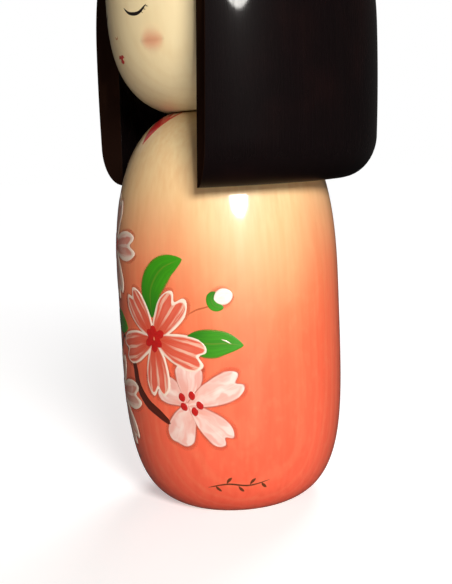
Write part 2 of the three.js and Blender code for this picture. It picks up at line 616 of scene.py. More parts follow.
@dataclass(frozen=True)
class PlainWood(Finish):
    """Pale wood in its own colour."""

    pale: Colour = paint(240, 222, 178)
    dark: Colour = paint(222, 190, 134)
    pith: Point = (-40 * MM, 30 * MM)
    figure: float = 0.3

    def mixed(self, bench: Bench) -> Sockets:
        """Streaks and rings in a darker tone of the wood.

        Args:
            bench: the material's tree.

        Returns:
            What goes into the shader's sockets.
        """
        where = bench.where()
        streak, ring = grain(bench, where, self.pith, 2.3 * MM)
        cloud = bench.noise(where, (60, 60, 40), 3.0)
        share = streak * 0.5 + ring * 0.35 + cloud.step(0.35, 0.8) * 0.4
        return {
            "Base Color": bench.mix(share * self.figure, self.pale, self.dark),
            "Roughness": 0.4 + streak * 0.15,
            "Relief": streak * 0.06 + ring * 0.03,
        }


@dataclass(frozen=True)
class HairLacquer(Finish):
    """Black lacquer brushed down from the crown, with a cloudy brown in the black; its lighter, browner copy
    on the cut faces is painted reflection of glare.
    """

    black: Colour = paint(13, 8, 9)
    brown: Colour = paint(30, 14, 13)
    cloudiness: float = 0.35
    rim: float = 77.1 * MM

    def mixed(self, bench: Bench) -> Sockets:
        """Brush marks that run from the crown down, and a cloudy brown in the black.

        Args:
            bench: the material's tree.

        Returns:
            What goes into the shader's sockets.
        """
        where = bench.where()
        x, y, z = bench.split(where)
        reach = (x * x + y * y + 1e-8) ** 0.5
        around = bench.join(x / reach, y / reach, z * 9.0)
        hairs = bench.noise(around, (34, 34, 1), 4.0)
        cloud = bench.noise(where, (75, 75, 55), 4.0)
        specks = bench.noise(where, (1500, 1500, 1500), 1.0)
        share = cloud.step(0.42, 0.78) * self.cloudiness + hairs.step(0.5, 0.85) * 0.12
        sockets = {
            "Base Color": bench.mix(share, self.black, self.brown),
            "Roughness": 0.34 + cloud * 0.14,
            "Relief": hairs * 0.1 + specks * 0.015,
        }
        if self.varnish.weight:
            rubbed = z.step(self.rim + 1.5 * MM, self.rim + 7 * MM)
            sockets["Coat Weight"] = rubbed * self.varnish.weight * (0.65 + hairs.step(0.3, 0.7) * 0.35)
        return sockets


@dataclass(frozen=True)
class PetalPaint(Finish):
    """A petal: a fill, strokes along it, a painted rim, and a thin contour outside the rim."""

    root: Colour = paint(218, 70, 40)
    fill: Colour = paint(228, 92, 66)
    stroke: Colour = paint(246, 196, 172)
    rim: Colour = paint(252, 232, 214)
    contour: Colour = paint(206, 112, 70)
    rim_width: float = 0.75 * MM
    rim_share: float = 0.94
    stroke_share: float = 0.85
    strokes: float = 3.4
    patch_share: float = 0.0
    contour_width: float = 0.16 * MM

    def mixed(self, bench: Bench) -> Sockets:
        """Fills the petal, draws its strokes and patches, then its rim and contour.

        Args:
            bench: the material's tree.

        Returns:
            What goes into the shader's sockets.
        """
        across, along, edge = bench.on_film()
        where = bench.where()
        waver = bench.noise(where, (210, 210, 210), 2.0)
        bristle = bench.noise(bench.join(across, along * 0.09), (26, 26, 1), 3.0)
        patch = bench.noise(bench.join(across + waver, along * 0.6 + waver * 0.3), (3.0, 2.2, 1), 1.0)
        middle = across - 0.5
        wave = (middle * (math.tau * self.strokes) + (waver - 0.5) * 3.4).cosine() + along * 0.35
        stroke = wave.step(0.62, 1.1) * along.step(0.24, 0.7) * bristle.step(0.28, 0.55)
        fill = bench.mix(along.step(0.0, 0.75), self.root, self.fill)
        fill = bench.mix(bristle.step(0.4, 0.75) * 0.35, fill, bench.mix(0.4, fill, self.stroke))
        drawn = bench.mix(stroke * self.stroke_share, fill, self.stroke)
        patched = bench.mix(patch.step(0.42, 0.66) * self.patch_share, drawn, self.rim)
        ragged = edge + (waver - 0.5) * (0.55 * MM) + (bristle - 0.5) * (0.25 * MM)
        ragged = ragged - along.step(0.75, 1.0) * (0.3 * MM)
        band = 1.0 - ragged.step(self.rim_width * 0.62, self.rim_width * 1.3)
        rimmed = bench.mix(band * self.rim_share, patched, self.rim)
        outer = 1.0 - edge.step(self.contour_width * 0.5, self.contour_width * 1.2)
        return {
            "Base Color": bench.mix(outer * 0.8, rimmed, self.contour),
            "Relief": band * 0.5 + stroke * 0.35,
        }


@dataclass(frozen=True)
class LeafPaint(Finish):
    """A leaf: two greens, a pale midrib and a thin brown contour."""

    green: Colour = paint(58, 156, 2)
    deep: Colour = paint(30, 112, 2)
    rib: Colour = paint(112, 138, 30)
    contour: Colour = paint(196, 124, 52)
    contour_width: float = 0.22 * MM

    def mixed(self, bench: Bench) -> Sockets:
        """Darkens the root of the leaf and streaks it darker, then draws its rib and contour.

        Args:
            bench: the material's tree.

        Returns:
            What goes into the shader's sockets.
        """
        across, along, edge = bench.on_film()
        where = bench.where()
        bristle = bench.noise(bench.join(across, along * 0.12), (22, 22, 1), 3.0)
        waver = bench.noise(where, (260, 260, 260), 2.0)
        shade = (1.0 - along.step(0.1, 0.6)) * 0.7 + bristle.step(0.35, 0.8) * 0.5
        body = bench.mix(shade.at_most(1.0), self.green, self.deep)
        rib = 1.0 - abs(across - 0.5 + (waver - 0.5) * 0.06).step(0.008, 0.04)
        drawn = rib * along.step(0.05, 0.2) * (1.0 - along.step(0.7, 0.9))
        ragged = edge + (waver - 0.5) * (0.2 * MM)
        outer = 1.0 - ragged.step(0.3 * self.contour_width, self.contour_width)
        ribbed = bench.mix(drawn * 0.55, body, self.rib)
        return {
            "Base Color": bench.mix(outer * 0.75, ribbed, self.contour),
            "Relief": bristle * 0.4 + rib * 0.3,
        }


@dataclass(frozen=True)
class BrushPaint(Finish):
    """Plain brushwork: one colour that pools darker along its edge and thins out in its middle."""

    thin: Colour = paint(204, 10, 4)
    pooled: Colour = paint(162, 4, 2)
    pool_width: float = 0.5 * MM

    def mixed(self, bench: Bench) -> Sockets:
        """Pools the colour at the edge and streaks it along the stroke.

        Args:
            bench: the material's tree.

        Returns:
            What goes into the shader's sockets.
        """
        across, along, edge = bench.on_film()
        bristle = bench.noise(bench.join(across, along * 0.2), (18, 18, 1), 3.0)
        pool = 1.0 - edge.step(0.0, self.pool_width)
        share = (pool * 0.6 + bristle.step(0.35, 0.8) * 0.6).at_most(1.0)
        return {"Base Color": bench.mix(share, self.thin, self.pooled), "Relief": bristle * 0.4}


@dataclass(frozen=True)
class BlushPaint(Finish):
    """A dab of colour that is rubbed out to nothing at its edge."""

    tone: Colour = paint(238, 140, 110)
    reach: float = 4.0 * MM
    strength: float = 0.42

    def mixed(self, bench: Bench) -> Sockets:
        """Thins the dab towards its edge, a little unevenly.

        Args:
            bench: the material's tree.

        Returns:
            What goes into the shader's sockets.
        """
        edge = bench.on_film()[2]
        cloud = bench.noise(bench.where(), (300, 300, 300), 2.0)
        share = edge.step(0.0, self.reach) * self.strength * (0.75 + cloud * 0.5)
        deeper = bench.mix(cloud, self.tone, paint(226, 112, 88))
        return {"Base Color": deeper, "Alpha": share}


@dataclass(frozen=True)
class StudioCard(Finish):
    """The pale card that the doll stands on, which grows into the white of the backdrop."""

    card: Colour = paint(238, 238, 240)
    near: float = 0.12
    far: float = 0.5
    glow: float = 0.42

    def mixed(self, bench: Bench) -> Sockets:
        """Brightens the card with the distance from its middle.

        Args:
            bench: the material's tree.

        Returns:
            What goes into the shader's sockets.
        """
        where = bench.where()
        x, y, _ = bench.split(where)
        away = ((x * x + y * y) ** 0.5).step(self.near, self.far)
        tooth = bench.noise(where, (700, 700, 700), 2.0)
        glow = bench.mix(away, (self.glow, self.glow, self.glow, 1.0), (1.0, 1.0, 1.0, 1.0))
        base = bench.mix(tooth * 0.1, self.card, paint(226, 226, 230))
        return {
            "Base Color": bench.mix(away, base, (0.0, 0.0, 0.0, 1.0)),
            "Emission Color": glow,
            "Emission Strength": 1.0,
        }


@dataclass(frozen=True)
class PlainCard(Finish):
    """A pale matt card without a glow."""

    tone: Colour = paint(222, 214, 208)

    def mixed(self, bench: Bench) -> Sockets:
        """One tone."""
        return {"Base Color": self.tone}


class Slot(Enum):
    """The record's material slots."""

    BODY = "stained_body"
    HEAD = "head_wood"
    HAIR = "hair_lacquer"


class Rides(Enum):
    """The bodies that pieces ride on."""

    FIGURE = "figure"
    HEAD = "head_and_hair"


def add_piece(name: str, mesh: bpy.types.Mesh, body: Rides, slot: Slot, *nodes: str) -> bpy.types.Object:
    """Adds a finished piece to the doll.

    Args:
        name: the piece's name.
        mesh: its mesh, in place.
        body: what it moves with.
        slot: not used.
        nodes: the CAD nodes that it stands for.

    Returns:
        The piece.
    """
    mesh.name = name
    made = bpy.data.objects.new(name, mesh)
    bpy.context.scene.collection.objects.link(made)
    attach(made, body.value)
    if nodes:
        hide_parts(*nodes)
    log.info("%s: %d faces, rides on %s", name, len(mesh.polygons), body.value)
    return made


# ---------------------------------------------------------------- turned pieces


@dataclass(frozen=True)
class Curve:
    """A quarter of a turned outline, from the widest radius in to the axis."""

    radius: float
    half: float
    fullness: float

    @classmethod
    def through(cls, radius: float, fullness: float, end_radius: float, end: float) -> "Curve":
        """The curve that has come in to end_radius at the distance end from its widest place."""
        return cls(radius, end / (1 - (end_radius / radius) ** fullness) ** (1 / fullness), fullness)

    def radius_at(self, distance: float) -> float:
        """Radius at a distance from the widest place."""
        share = min(1.0, abs(distance) / self.half)
        return self.radius * (1 - share**self.fullness) ** (1 / self.fullness)

    def turning_at(self, distance: float) -> float:
        """How far the curve has turned, 0 to a quarter of a circle, at a distance."""
        return math.asin(min(1.0, (abs(distance) / self.half) ** (self.fullness / 2)))

    def point(self, turning: float) -> Point:
        """Radius and distance where the curve has turned so far."""
        across = self.radius * max(0.0, math.cos(turning)) ** (2 / self.fullness)
        return across, self.half * math.sin(turning) ** (2 / self.fullness)

    def points(self, end_radius: float, steps: int = 40) -> list[Point]:
        """Points from the widest place to end_radius.

        Args:
            end_radius: where the curve stops.
            steps: how many runs.

        Returns:
            Pairs of radius and distance.
        """
        last = math.acos((end_radius / self.radius) ** (self.fullness / 2))
        return [self.point(last * step / steps) for step in range(steps + 1)]


@dataclass(frozen=True)
class TurnedForm:
    """A turned outside: one curve up from the widest place and one down."""

    widest: float
    upper: Curve
    lower: Curve

    def outline(self, foot: float, top: float) -> list[Point]:
        """The outside as radius and height, from the foot's radius up to the top's.

        Args:
            foot, top: the radii at which it starts and ends.

        Returns:
            Pairs of radius and height, upwards.
        """
        down = [(radius, self.widest - drop) for radius, drop in self.lower.points(foot)]
        up = [(radius, self.widest + rise) for radius, rise in self.upper.points(top)]
        return down[::-1] + up[1:]

    def sizes(self) -> dict[str, float]:
        """The wrapping tree's inputs.

        Returns:
            The form's sizes, by input.
        """
        return {
            "Radius": self.upper.radius,
            "Widest": self.widest,
            "Upper_Half": self.upper.half,
            "Upper_Fullness": self.upper.fullness,
            "Lower_Half": self.lower.half,
            "Lower_Fullness": self.lower.fullness,
        }


class Shop:
    """The trees that all pieces share."""

    TURNS = 288

    def __init__(self) -> None:
        """Builds the trees."""
        self.lathe = turning_tree()
        self.petal = petal_tree()
        self.brush = brush_tree()
        self.wrapping = wrapping_tree()

    def turned(self, outline: list[Point], finish: Finish) -> bpy.types.Mesh:
        """Turns an outline.

        Args:
            outline: radius and height, upwards on the outside, from axis to axis.
            finish: its finish.

        Returns:
            The turned mesh, its corners kept sharp.
        """
        source = bpy.data.meshes.new("outline")
        source.from_pydata([(radius, 0.0, height) for radius, height in outline], [], [])
        made = self.lathe.run(source, Turns=self.TURNS, Finish=finish.material())
        made.set_sharp_from_angle(angle=math.radians(38))
        return made

    def film(self, shapes: list["Petal | Stroke"], form: TurnedForm, finish: Finish) -> bpy.types.Mesh:
        """Paints shapes on a turned form.

        Args:
            shapes: the flat shapes of one film, in the order that they are painted.
            form: the form that they are wrapped round.
            finish: the paint.

        Returns:
            The film of paint.
        """
        joined = bmesh.new()
        for order, shape in enumerate(shapes):
            flat = shape.laid(self, finish, order)
            joined.from_mesh(flat)
            bpy.data.meshes.remove(flat)
        source = bpy.data.meshes.new("flat_film")
        joined.to_mesh(source)
        joined.free()
        return self.wrapping.run(source, **form.sizes(), Finish=finish.material())


@dataclass(frozen=True)
class Petal:
    """One petal: millimetres, and degrees from the arc's direction towards the neck."""

    centre: Point
    heading: float
    length: float
    width: float
    notch: float = 0.12
    bend: float = 0.0
    lift: float = 0.08
    layer: float = 0.008

    def laid(self, shop: Shop, finish: Finish, order: int) -> bpy.types.Mesh:
        """Lays the petal flat.

        Args:
            shop: the shared trees.
            finish: the paint.
            order: its place in the flower, which lifts it over the ones before.

        Returns:
            The flat petal.
        """
        return shop.petal.run(
            bpy.data.meshes.new("nothing"),
            Centre=(self.centre[0] * MM, self.centre[1] * MM, 0.0),
            Heading=math.radians(self.heading),
            Length=self.length * MM,
            Width=self.width * MM,
            Notch=self.notch,
            Bend=self.bend,
            Lift=(self.lift + self.layer * order) * MM,
            Sink=0.03 * MM,
            Seed=self.heading * 0.37 + self.centre[0],
            Finish=finish.material(),
        )


@dataclass(frozen=True)
class Stroke:
    """One stroke of the brush along a line of points, in millimetres."""

    line: tuple[Point, ...]
    half_width: float
    skew: float = 1.0
    round: float = 0.6
    lift: float = 0.1

    def laid(self, shop: Shop, finish: Finish, order: int) -> bpy.types.Mesh:
        """Lays the stroke flat.

        Args:
            shop: the shared trees.
            finish: the paint.
            order: its place in the film, which lifts it over the ones before.

        Returns:
            The flat stroke.
        """
        source = bpy.data.meshes.new("line")
        points = [(arc * MM, height * MM, 0.0) for arc, height in self.line]
        source.from_pydata(points, [(i, i + 1) for i in range(len(points) - 1)], [])
        return shop.brush.run(
            source,
            Half_Width=self.half_width * MM,
            Skew=self.skew,
            Round=self.round,
            Lift=(self.lift + 0.0015 * order) * MM,
            Sink=0.03 * MM,
            Finish=finish.material(),
        )


def dab(centre: Point, radius: float, stretch: float, heading: float, lift: float) -> Stroke:
    """A round dab of the brush.

    Args:
        centre: its middle, in millimetres.
        radius: half its width.
        stretch: its length over its width.
        heading: where its length points, in degrees.
        lift: its thickness.

    Returns:
        The stroke that makes it.
    """
    reach = radius * stretch
    step_x = reach * math.cos(math.radians(heading))
    step_y = reach * math.sin(math.radians(heading))
    shares = (-1.0, -0.33, 0.33, 1.0)
    line = tuple((centre[0] + step_x * share, centre[1] + step_y * share) for share in shares)
    return Stroke(line, radius, 1.0, 0.5, lift)


@dataclass
class StainedBody:
    """The barrel body, and the form that its blossom is painted on."""

    height: float = 94 * MM
    radius: float = 27 * MM
    belly: float = 48.9 * MM
    neck: float = 12 * MM
    foot: float = 16.5 * MM
    shoulder_fullness: float = 2.87
    hip_fullness: float = 4.1
    peg_hole: float = 5.3 * MM
    peg_hole_depth: float = 16.3 * MM
    stops: tuple[tuple[float, Colour], ...] = (
        (0.00, paint(248, 98, 70)),
        (0.14, paint(251, 104, 73)),
        (0.36, paint(252, 109, 74)),
        (0.50, paint(251, 118, 79)),
        (0.60, paint(247, 138, 93)),
        (0.70, paint(244, 171, 121)),
        (0.81, paint(242, 205, 152)),
        (0.92, paint(238, 212, 162)),
    )

    @property
    def form(self) -> TurnedForm:
        """The body's outside.

        Returns:
            Its shoulder and its hip, which meet at the belly.
        """
        upper = Curve.through(self.radius, self.shoulder_fullness, self.neck, self.height - self.belly)
        lower = Curve.through(self.radius, self.hip_fullness, self.foot, self.belly)
        return TurnedForm(self.belly, upper, lower)

    def build(self, shop: Shop) -> None:
        """Turns the body with the hole for its peg.

        Args:
            shop: the shared trees.
        """
        hole_floor = self.height - self.peg_hole_depth
        outline = [
            (0.0, 0.0),
            *self.form.outline(self.foot, self.neck),
            (self.peg_hole, self.height),
            (self.peg_hole, hole_floor),
            (0.0, hole_floor),
        ]
        gloss = Varnish(1.0, 0.12)
        finish = StainedWood("stained_maple", gloss, self.height, self.radius, stops=self.stops)
        add_piece("turned_body", shop.turned(outline, finish), Rides.FIGURE, Slot.BODY, "body")


@dataclass
class Blossom:
    """A cherry blossom spray painted on the body: arcs from the front and heights, in millimetres."""

    rosy: PetalPaint = PetalPaint("rosy_petal_paint")
    pale: PetalPaint = PetalPaint(
        "pale_petal_paint",
        root=paint(238, 166, 150),
        fill=paint(242, 180, 168),
        stroke=paint(253, 232, 222),
        rim=paint(254, 240, 232),
        contour=paint(184, 66, 32),
        rim_width=0.7 * MM,
        rim_share=0.2,
        stroke_share=0.4,
        strokes=1.6,
        patch_share=0.6,
        contour_width=0.5 * MM,
    )
    soft: PetalPaint = PetalPaint(
        "soft_petal_paint",
        root=paint(216, 96, 78),
        fill=paint(226, 142, 124),
        stroke=paint(250, 216, 202),
        rim_width=1.3 * MM,
        patch_share=0.35,
    )
    leaf: LeafPaint = LeafPaint("leaf_paint")
    stamen: BrushPaint = BrushPaint("stamen_paint")
    pollen: BrushPaint = BrushPaint("pollen_paint", thin=paint(240, 150, 110), pooled=paint(222, 110, 76))
    bark: BrushPaint = BrushPaint("bark_paint", thin=paint(96, 30, 8), pooled=paint(58, 14, 4))
    stem: BrushPaint = BrushPaint("stem_paint", thin=paint(214, 112, 66), pooled=paint(190, 86, 44))
    white: BrushPaint = BrushPaint("bud_paint", thin=paint(255, 246, 238), pooled=paint(246, 214, 196))
    collar: BrushPaint = BrushPaint("collar_paint", thin=paint(208, 12, 3), pooled=paint(166, 4, 1))
    wash: BlushPaint = BlushPaint("wash_paint", tone=paint(208, 92, 44), reach=1.2 * MM, strength=0.4)
    mark: BrushPaint = BrushPaint("mark_paint", thin=paint(120, 62, 20), pooled=paint(88, 40, 12))

    rosy_flowers: tuple[tuple[Petal, ...], ...] = (
        (
            Petal((11.0, 43.0), 53, 13.2, 8.0, 0.13, -0.03),
            Petal((11.0, 43.4), -17, 14.0, 8.2, 0.13, 0.02),
            Petal((11.2, 43.0), -87, 13.6, 7.6, 0.15, 0.02),
            Petal((11.4, 43.2), 199, 13.8, 8.2, 0.12, 0.03),
            Petal((11.0, 43.4), 127, 13.4, 7.6, 0.14, -0.02),
        ),
        (
            Petal((-8.5, 63.5), 3, 14.2, 7.6, 0.14),
            Petal((-8.5, 63.5), 70, 13.0, 8.0, 0.13),
            Petal((-8.5, 63.5), 141, 13.4, 7.6, 0.13),
            Petal((-8.5, 63.5), 212, 13.6, 7.8, 0.14),
            Petal((-8.5, 63.5), -64, 13.4, 8.0, 0.12),
        ),
        (
            Petal((-9.5, 27.5), 6, 14.2, 7.8, 0.15),
            Petal((-9.5, 27.5), 66, 11.6, 7.2, 0.13),
            Petal((-9.5, 27.5), 136, 12.8, 7.8, 0.13),
            Petal((-9.5, 27.5), 214, 13.0, 7.6, 0.14),
            Petal((-9.5, 27.5), -50, 14.6, 7.6, 0.12),
        ),
    )
    pale_flower: tuple[Petal, ...] = (
        Petal((19.6, 28.8), 152, 8.6, 7.0, 0.1, lift=0.03),
        Petal((19.8, 28.8), 88, 9.6, 7.2, 0.06, lift=0.03),
        Petal((19.6, 28.8), -110, 10.8, 8.0, 0.02, lift=0.03),
        Petal((19.7, 28.6), -44, 13.0, 7.2, 0.13, lift=0.03),
        Petal((19.6, 28.5), 25, 14.2, 7.4, 0.13, lift=0.03),
    )
    leaves: tuple[Stroke, ...] = (
        Stroke(((11.0, 48.0), (11.0, 54.6), (14.6, 59.4), (19.9, 61.6)), 3.7, 1.0, 0.72, 0.05),
        Stroke(((19.6, 43.6), (24.8, 42.6), (28.8, 42.6), (33.0, 41.9)), 3.5, 0.82, 0.75, 0.06),
        Stroke(((-10.5, 46.6), (-6.8, 46.0), (-3.4, 45.2), (0.6, 44.5)), 2.9, 1.0, 0.7, 0.05),
        Stroke(((-14.0, 40.0), (-17.6, 42.6), (-21.5, 44.4), (-26.0, 44.6)), 3.2, 1.0, 0.7, 0.05),
    )

    def build(self, shop: Shop, form: TurnedForm) -> None:
        """Paints the spray, from its branch up to its stamens.

        Args:
            shop: the shared trees.
            form: the body's outside.
        """
        films: list[tuple[str, list[Petal | Stroke], Finish]] = [
            ("contour_wash", self._wash(), self.wash),
            ("blossom_branch", self._branch(), self.bark),
            ("bud_stems", self._stems(), self.stem),
            ("blossom_leaves", list(self.leaves), self.leaf),
            ("leaf_glints", self._glints(), self.white),
            ("pale_petals", list(self.pale_flower), self.pale),
        ]
        for number, flower in enumerate(self.rosy_flowers, 1):
            films.append((f"rosy_petals_{number}", list(flower), self.rosy if number == 1 else self.soft))
        films += [
            ("stamens", self._stamens(), self.stamen),
            ("pollen", self._pollen(), self.pollen),
            ("calyxes", self._calyxes(), self.leaf),
            ("buds", self._buds(), self.white),
            ("under_collar", self._collar(), self.collar),
            ("foot_sprig", self._sprig(), self.mark),
        ]
        for name, shapes, finish in films:
            add_piece(name, shop.film(shapes, form, finish), Rides.FIGURE, Slot.BODY)

    def _wash(self) -> list[Petal | Stroke]:
        """The brown wash that shows as a soft contour round the petals, the leaves and the buds.

        Returns:
            The film's shapes.
        """
        petals = [petal for flower in (*self.rosy_flowers, self.pale_flower) for petal in flower]
        wide: list[Petal | Stroke] = [
            replace(one, length=one.length + 0.9, width=one.width + 1.7, lift=0.01, layer=0.0008)
            for one in petals
        ]
        wide += [replace(one, half_width=one.half_width + 0.4, lift=0.01) for one in self.leaves[:2]]
        return [*wide, dab((28.4, 52.9), 3.0, 1.0, 0, 0.01)]

    def _branch(self) -> list[Stroke]:
        """The dark branch that the flowers hang on.

        Returns:
            The film's strokes.
        """
        root = ((-12.0, 47.0), (-3.0, 42.5), (2.6, 37.0), (4.0, 31.6))
        tip = ((7.2, 27.8), (10.8, 25.8), (14.6, 23.4))
        return [
            Stroke((*root, *tip), 1.25, 2.4, 0.4, 0.05),
            Stroke(((-3.0, 42.6), (-9.0, 36.5), (-16.0, 33.0), (-21.0, 31.5)), 0.6, 0.7, 0.5, 0.05),
        ]

    def _stems(self) -> list[Stroke]:
        """The thin stems of the buds.

        Returns:
            The film's strokes.
        """
        return [
            Stroke(((26.4, 51.2), (24.4, 50.7), (22.6, 50.2), (20.6, 49.2)), 0.24, 1.0, 0.3, 0.05),
            Stroke(((-24.5, 53.0), (-21.0, 52.4), (-18.0, 53.6), (-15.5, 56.0)), 0.24, 1.0, 0.3, 0.05),
        ]

    def _glints(self) -> list[Stroke]:
        """White strokes that light the leaves.

        Returns:
            The film's strokes.
        """
        return [
            Stroke(((27.8, 43.6), (28.7, 43.3), (29.5, 42.9), (30.3, 42.3)), 0.24, 1.0, 0.6, 0.14),
            Stroke(((-20.5, 45.0), (-21.6, 45.3), (-22.8, 45.4), (-23.8, 45.2)), 0.22, 1.0, 0.6, 0.14),
        ]

    def _calyxes(self) -> list[Stroke]:
        """The green cups of the buds.

        Returns:
            The film's strokes.
        """
        return [
            Stroke(((27.2, 54.3), (26.2, 53.0), (26.8, 51.2), (28.9, 50.6)), 1.35, 1.1, 0.5, 0.08),
            Stroke(((-25.6, 55.2), (-25.0, 53.4), (-26.0, 51.8), (-28.6, 51.6)), 1.2, 1.2, 0.45, 0.08),
        ]

    def _buds(self) -> list[Stroke]:
        """The white buds in their cups."""
        return [dab((28.9, 53.1), 1.9, 1.12, 15, 0.2), dab((-28.2, 54.2), 1.8, 1.1, 160, 0.2)]

    def _stamens(self) -> list[Stroke]:
        """A ragged ring of dark red in each rosy flower, and five dots in the pale one.

        Returns:
            The film's strokes.
        """
        dots = []
        for flower in self.rosy_flowers:
            x, y = flower[1].centre
            dots.append(dab((x + 0.2, y), 2.0, 1.05, 30, 0.15))
            for spoke in range(6):
                angle = math.radians(60 * spoke + 28 + 9 * math.sin(2.3 * spoke))
                reach = 1.85 + 0.3 * math.cos(1.7 * spoke)
                spot = (x + 0.2 + reach * math.cos(angle), y + reach * math.sin(angle))
                dots.append(dab(spot, 1.1, 1.1, math.degrees(angle), 0.15))
        spots = ((18.0, 30.2), (20.5, 30.7), (18.4, 28.0), (22.3, 28.5), (21.0, 27.0))
        headings = (110, 100, 130, 125, 100)
        return dots + [dab(spot, 0.9, 1.18, heading, 0.12) for spot, heading in zip(spots, headings)]

    def _pollen(self) -> list[Stroke]:
        """The pale eye of each rosy flower."""
        middles = [flower[1].centre for flower in self.rosy_flowers]
        return [dab((x + 0.3, y - 0.1), 0.42, 1.3, 90, 0.2) for x, y in middles]

    def _collar(self) -> list[Stroke]:
        """The red of the under-collar, a V below the chin between two bands that cross at its tip.

        Returns:
            The film's strokes.
        """
        bands = [Stroke(((0.0, 86.7), (0.0, 89.0), (0.0, 91.6), (0.0, 94.2)), 5.1, 2.6, 0.8, 0.04)]
        for side, lift in ((-1, 0.05), (1, 0.06)):
            line = ((8.7, 93.9), (5.7, 92.7), (2.5, 90.4), (-0.3, 87.1))
            bands.append(Stroke(tuple((side * x, y) for x, y in line), 0.75, 1.0, 0.4, lift))
        return bands

    def _sprig(self) -> list[Stroke]:
        """A small sprig of brush dabs near the foot, in the place of a signature.

        Returns:
            The film's strokes.
        """
        strokes = [Stroke(((22.0, 8.2), (27.5, 9.2), (33.0, 8.6), (38.5, 9.6)), 0.26, 1.0, 0.4, 0.06)]
        for step in range(5):
            x = 24.2 + 3.0 * step
            y = 8.9 + 0.35 * math.sin(1.9 * step)
            up = 1 if step % 2 else -1
            tip = (x + 1.5, y + 1.7 * up)
            strokes.append(Stroke(((x, y), (x + 0.5, y + 0.8 * up), tip), 0.42, 1.2, 0.7, 0.06))
        return strokes


@dataclass
class BallHead:
    """The head, from its flat seat up to its crown, with the bore for the peg that it turns on."""

    seat_height: float = 94.3 * MM
    radius: float = 25.5 * MM
    chin_drop: float = 26.7 * MM
    crown_rise: float = 28.5 * MM
    seat: float = 13 * MM
    chin_fullness: float = 2.83
    crown_fullness: float = 2.35
    bore: float = 5.1 * MM
    bore_depth: float = 13.3 * MM
    dowel_hole: float = 3.3 * MM
    dowel_hole_depth: float = 9.3 * MM

    @property
    def form(self) -> TurnedForm:
        """The head's outside.

        Returns:
            Its crown and its chin, which meet at the widest place.
        """
        upper = Curve(self.radius, self.crown_rise, self.crown_fullness)
        lower = Curve.through(self.radius, self.chin_fullness, self.seat, self.chin_drop)
        return TurnedForm(self.seat_height + self.chin_drop, upper, lower)

    def build(self, shop: Shop) -> None:
        """Turns the head and paints its face.

        Args:
            shop: the shared trees.
        """
        roof = self.seat_height + self.bore_depth
        floor = self.form.widest + self.crown_rise - self.dowel_hole_depth
        outline = [
            (0.0, roof),
            (self.bore, roof),
            (self.bore, self.seat_height),
            *self.form.outline(self.seat, self.dowel_hole),
            (self.dowel_hole, floor),
            (0.0, floor),
        ]
        wood = PlainWood("cream_maple", Varnish(1.0, 0.1))
        add_piece("turned_head", shop.turned(outline, wood), Rides.HEAD, Slot.HEAD, "head")
        for name, shapes, finish in self._face():
            add_piece(name, shop.film(shapes, self.form, finish), Rides.HEAD, Slot.HEAD)

    def _face(self) -> list[tuple[str, list[Petal | Stroke], Finish]]:
        """The painted face, calm and with its eyes closed.

        Returns:
            Each film's name, strokes and paint.
        """
        ink = BrushPaint("ink_paint", thin=paint(34, 20, 16), pooled=paint(16, 9, 8))
        rouge = BrushPaint("lip_paint", thin=paint(204, 30, 22), pooled=paint(168, 12, 10))
        shade = BrushPaint("nose_paint", thin=paint(214, 160, 112), pooled=paint(196, 130, 84))
        eyes: list[Petal | Stroke] = []
        cheeks: list[Petal | Stroke] = []
        for side in (-1, 1):
            lid = ((5.2, 117.2), (7.2, 115.7), (10.2, 115.4), (12.8, 117.0))
            eyes.append(Stroke(tuple((side * x, y) for x, y in lid), 0.42, 1.1, 0.6, 0.08))
            brow = ((5.0, 122.6), (7.4, 123.8), (10.2, 123.9), (12.6, 122.8))
            eyes.append(Stroke(tuple((side * x, y) for x, y in brow), 0.3, 1.0, 0.8, 0.06))
            for lash in range(3):
                root = (side * (10.9 + 0.8 * lash), 115.9 + 0.45 * lash)
                tip = (root[0] + side * 0.9, root[1] - 0.75 + 0.2 * lash)
                middle = ((root[0] + tip[0]) / 2, (root[1] + tip[1]) / 2 - 0.1)
                eyes.append(Stroke((root, middle, tip), 0.13, 0.7, 0.6, 0.06))
            cheeks.append(dab((side * 13.2, 109.4), 3.6, 1.0, 0, 0.04))
        nose = [Stroke(((-0.9, 111.6), (-0.3, 111.0), (0.4, 111.0), (0.9, 111.6)), 0.24, 1.0, 0.6, 0.06)]
        upper_lip = ((-1.7, 106.6), (-0.8, 107.0), (0.0, 106.6), (0.8, 107.0), (1.7, 106.6))
        lips = [
            Stroke(upper_lip, 0.5, 1.0, 0.7, 0.1),
            dab((0.0, 105.9), 0.55, 1.7, 0, 0.12),
        ]
        return [
            ("cheek_blush", cheeks, BlushPaint("blush_paint")),
            ("eyes_and_brows", eyes, ink),
            ("nose_stroke", nose, shade),
            ("painted_lips", lips, rouge),
        ]


